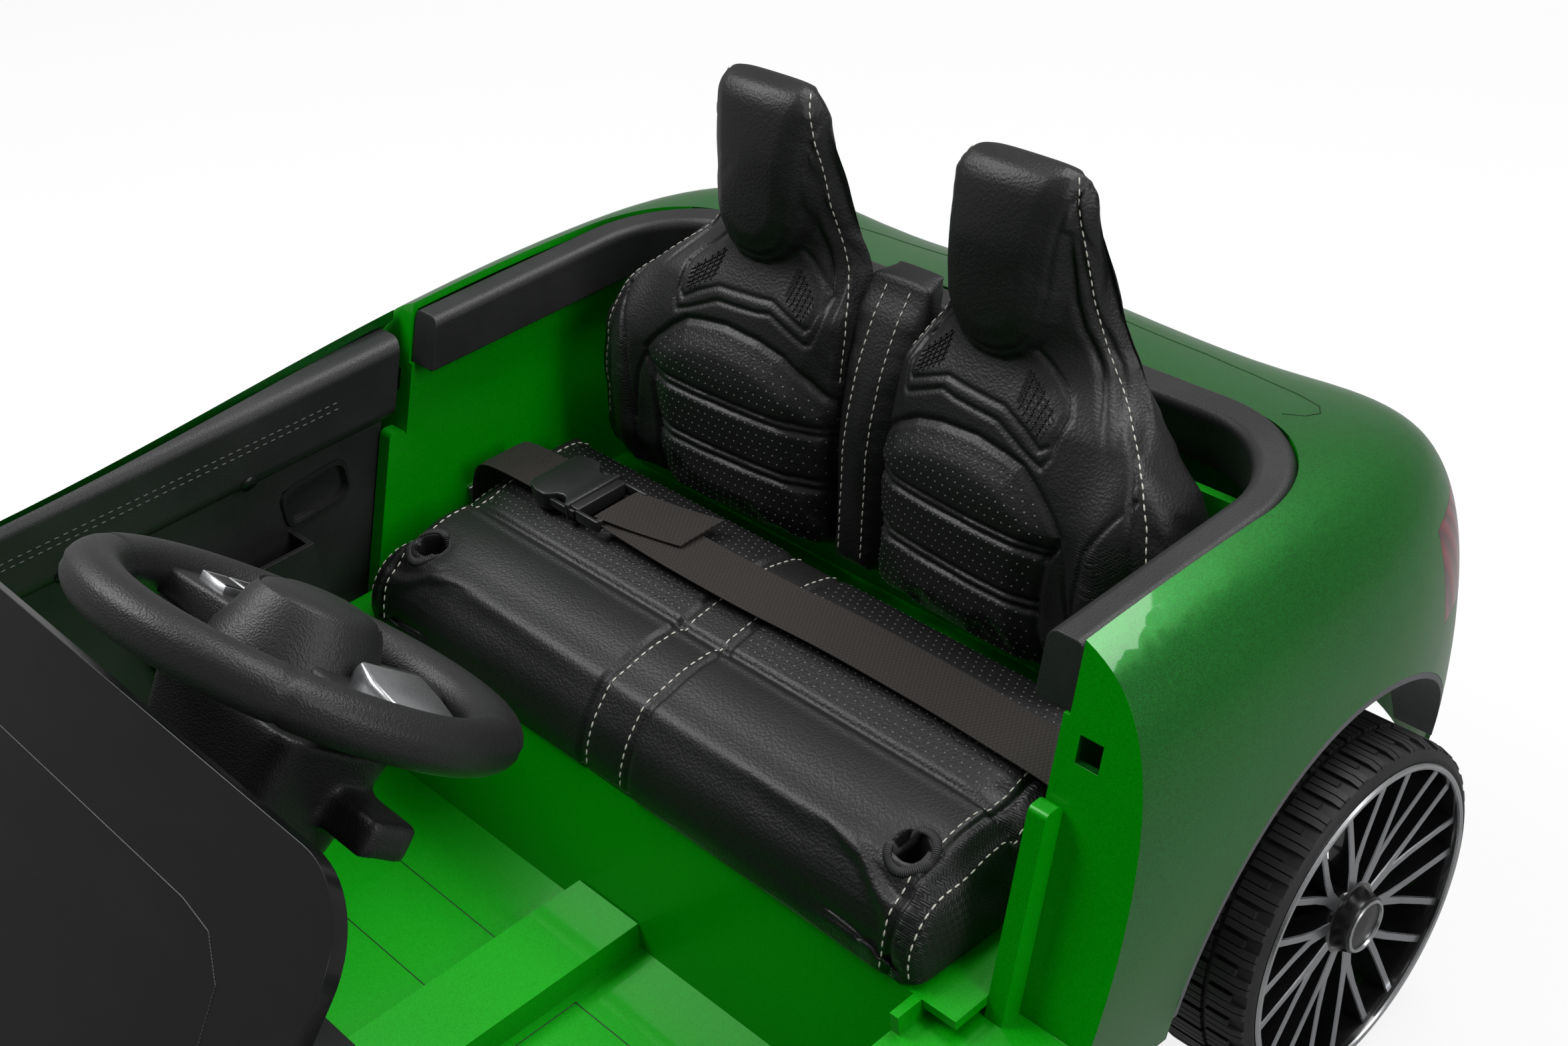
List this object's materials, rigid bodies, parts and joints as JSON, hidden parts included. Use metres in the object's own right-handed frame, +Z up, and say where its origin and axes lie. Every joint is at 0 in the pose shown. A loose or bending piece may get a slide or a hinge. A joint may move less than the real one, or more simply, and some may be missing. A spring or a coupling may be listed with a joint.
{
  "type": "electric ride on car",
  "caption": "Open electric ride-on car for children with a padded bench seat, twin bucket backrests, steering wheel, opening doors and steered wheels.",
  "frame": {"origin": "on the ground, midway along the body and on its centre line", "axes": "+Y to the car's rear, +X to its left, +Z up"},
  "size_m": [1.0444, 1.32, 0.5321],
  "materials": {
    "green_paint": "metallic green gloss",
    "black_trim": "satin grained black",
    "gloss_black": "gloss black",
    "black_leather": "pebbled leatherette with pale stitching",
    "webbing": "woven webbing",
    "tinted_screen": "dark tinted gloss",
    "clear_lamp": "pale gloss lens",
    "red_lamp": "dark red gloss lens",
    "grey_liner": "matte grey",
    "tyre": "matte black moulded tread",
    "rim_black": "gloss black with silver edges",
    "silver": "satin silver",
    "steel": "zinc-plated steel",
    "battery_case": "moulded case"
  },
  "bodies": {
    "chassis": {"cabin_tub": "green_paint", "rear_body": "green_paint", "front_body": "green_paint", "cockpit_rail": "black_trim", "seat_back_shell": "black_trim", "dashboard": "black_trim", "column_shroud": "black_trim", "bench_cushion": "black_leather", "left_backrest": "black_leather", "right_backrest": "black_leather", "backrest_valley": "black_leather", "long_belt": "webbing", "short_belt": "webbing", "buckle_socket": "gloss_black", "buckle_insert": "gloss_black", "dash_display": "gloss_black", "grille": "gloss_black", "charge_socket": "gloss_black", "windscreen": "tinted_screen", "belt_anchors": "steel", "seat_screws": "steel", "front_axle_beam": "steel", "rear_axle": "steel", "hinge_pins": "steel", "kingpins": "steel", "left_gearbox": "battery_case", "right_gearbox": "battery_case", "battery": "battery_case", "controller": "battery_case", "left_headlamp": "clear_lamp", "right_headlamp": "clear_lamp", "left_tail_lamp": "red_lamp", "right_tail_lamp": "red_lamp", "wheel_liners": "grey_liner"},
    "left_door": {"left_door_skin": "green_paint", "left_door_trim": "black_trim", "left_mirror": "gloss_black"},
    "right_door": {"right_door_skin": "green_paint", "right_door_trim": "black_trim", "right_mirror": "gloss_black"},
    "steering": {"steering_wheel": "black_trim", "hub_pad": "gloss_black", "spoke_panel": "silver", "steering_shaft": "steel"},
    "upper_key": {"upper_wheel_button": "gloss_black"},
    "lower_key": {"lower_wheel_button": "gloss_black"},
    "tie_rod": {"tie_rod": "steel"},
    "left_knuckle": {"left_knuckle": "steel"},
    "right_knuckle": {"right_knuckle": "steel"},
    "front_left_wheel": {"front_left_tyre": "tyre", "front_left_rim": "rim_black"},
    "front_right_wheel": {"front_right_tyre": "tyre", "front_right_rim": "rim_black"},
    "rear_left_wheel": {"rear_left_tyre": "tyre", "rear_left_rim": "rim_black"},
    "rear_right_wheel": {"rear_right_tyre": "tyre", "rear_right_rim": "rim_black"},
    "pedal": {"accelerator_pedal": "black_trim"},
    "power_button": {"power_button": "gloss_black"},
    "drive_rocker": {"drive_rocker": "gloss_black"}
  },
  "joints": [
    {"name": "left_door_hinge", "type": "hinge", "parent": "chassis", "child": "left_door", "pos_m": [0.33075, -0.054, 0.22], "axis": [0, 0, 1], "range_deg": [0, 62]},
    {"name": "right_door_hinge", "type": "hinge", "parent": "chassis", "child": "right_door", "pos_m": [-0.33075, -0.054, 0.22], "axis": [0, 0, 1], "range_deg": [0, 62]},
    {"name": "steering_turn", "type": "hinge", "parent": "chassis", "child": "steering", "pos_m": [0.105, -0.005, 0.455], "axis": [0, 0.682, 0.7314], "range_deg": [-38, 38]},
    {"name": "tie_rod_slide", "type": "slide", "parent": "chassis", "child": "tie_rod", "axis": [1, 0, 0], "range_m": [-0.0149, 0.0149]},
    {"name": "left_kingpin", "type": "hinge", "parent": "chassis", "child": "left_knuckle", "pos_m": [0.262, -0.34, 0.112], "axis": [0, 0, 1], "range_deg": [-18.2, 18.2]},
    {"name": "front_left_spin", "type": "hinge", "parent": "left_knuckle", "child": "front_left_wheel", "pos_m": [0.331, -0.34, 0.112], "axis": [1, 0, 0], "continuous": true},
    {"name": "right_kingpin", "type": "hinge", "parent": "chassis", "child": "right_knuckle", "pos_m": [-0.262, -0.34, 0.112], "axis": [0, 0, 1], "range_deg": [-18.2, 18.2]},
    {"name": "front_right_spin", "type": "hinge", "parent": "right_knuckle", "child": "front_right_wheel", "pos_m": [-0.331, -0.34, 0.112], "axis": [1, 0, 0], "continuous": true},
    {"name": "rear_left_spin", "type": "hinge", "parent": "chassis", "child": "rear_left_wheel", "pos_m": [0.331, 0.46, 0.112], "axis": [1, 0, 0], "continuous": true},
    {"name": "rear_right_spin", "type": "hinge", "parent": "chassis", "child": "rear_right_wheel", "pos_m": [-0.331, 0.46, 0.112], "axis": [1, 0, 0], "continuous": true},
    {"name": "pedal_press", "type": "hinge", "parent": "chassis", "child": "pedal", "pos_m": [0.07, -0.096, 0.084], "axis": [1, 0, 0], "range_deg": [0, 14], "stiffness_Nm_per_rad": 1.2, "springref_deg": -5.73},
    {"name": "power_button_press", "type": "slide", "parent": "chassis", "child": "power_button", "axis": [0, -1, 0], "range_m": [0, 0.002], "stiffness_N_per_m": 300, "springref_m": -0.001},
    {"name": "drive_rocker_tilt", "type": "hinge", "parent": "chassis", "child": "drive_rocker", "pos_m": [-0.226, -0.085, 0.347], "axis": [1, 0, 0], "range_deg": [-10, 10]},
    {"name": "upper_key_press", "type": "slide", "parent": "steering", "child": "upper_key", "axis": [0, -0.682, -0.7314], "range_m": [0, 0.0012], "stiffness_N_per_m": 250, "springref_m": -0.001},
    {"name": "lower_key_press", "type": "slide", "parent": "steering", "child": "lower_key", "axis": [0, -0.682, -0.7314], "range_m": [0, 0.0012], "stiffness_N_per_m": 250, "springref_m": -0.001}
  ],
  "couplings": [
    {"joint": "tie_rod_slide", "follows": "steering_turn", "m_per_rad": -0.022225},
    {"joint": "left_kingpin", "follows": "steering_turn", "ratio": 0.47368},
    {"joint": "right_kingpin", "follows": "steering_turn", "ratio": 0.47368}
  ]
}
